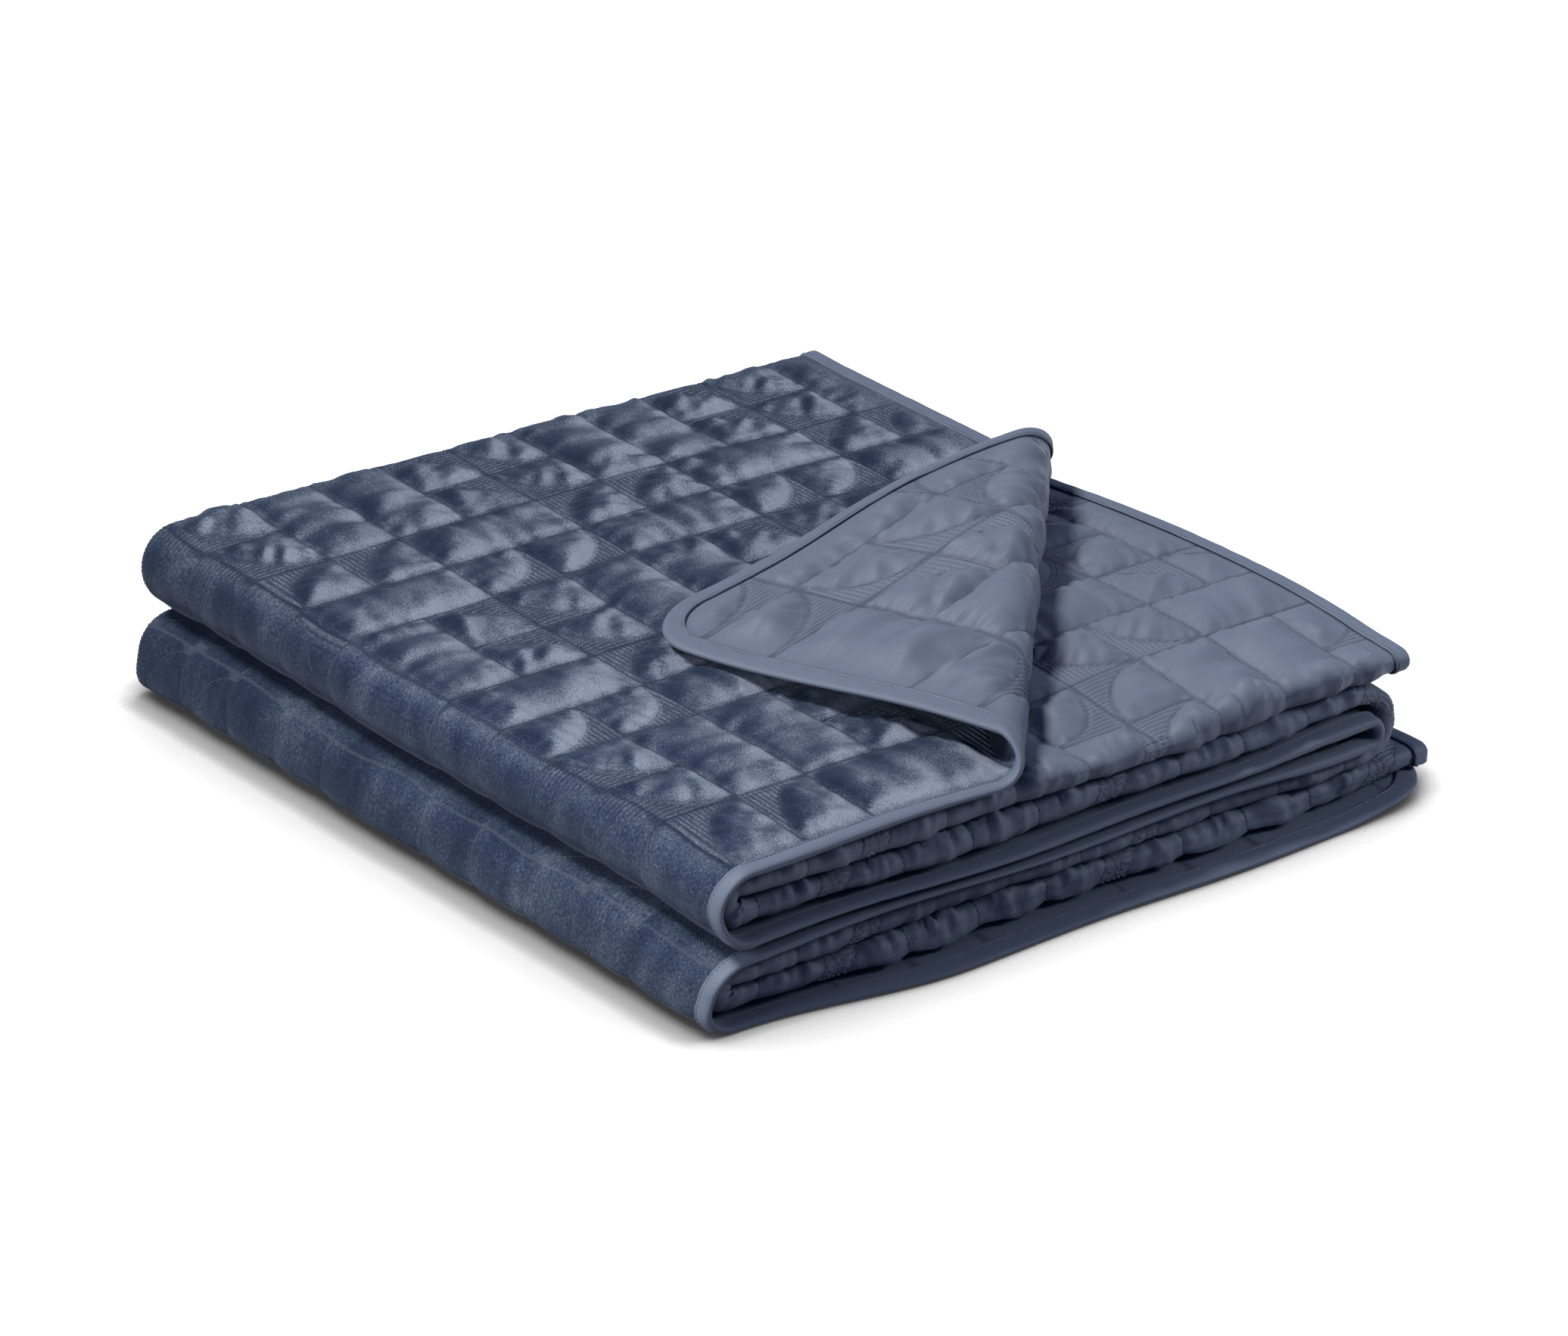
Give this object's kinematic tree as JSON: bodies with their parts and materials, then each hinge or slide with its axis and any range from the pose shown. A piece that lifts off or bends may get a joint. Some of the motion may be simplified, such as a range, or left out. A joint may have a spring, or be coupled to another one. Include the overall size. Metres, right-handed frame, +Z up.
{
  "type": "bedspread",
  "caption": "Quilted velvet bedspread with a smooth woven back and a bound edge, folded into a flat stack with its top corner turned back.",
  "frame": {"origin": "centre of the footprint at the height of the surface the stack rests on", "axes": "+X from the rolled folds to the open side, +Y from the near side to the far side, +Z up"},
  "size_m": [0.6942, 0.764, 0.1873],
  "materials": {
    "velvet": "dark slate blue velvet with a brushed pile and a soft sheen",
    "woven_back": "smooth grey blue woven cloth with a faint satin sheen, on the back and the binding",
    "thread": "fine dark blue sewing thread"
  },
  "bodies": {
    "root": {"quilted_panel": "velvet", "edge_binding": "woven_back"}
  },
  "joints": []
}
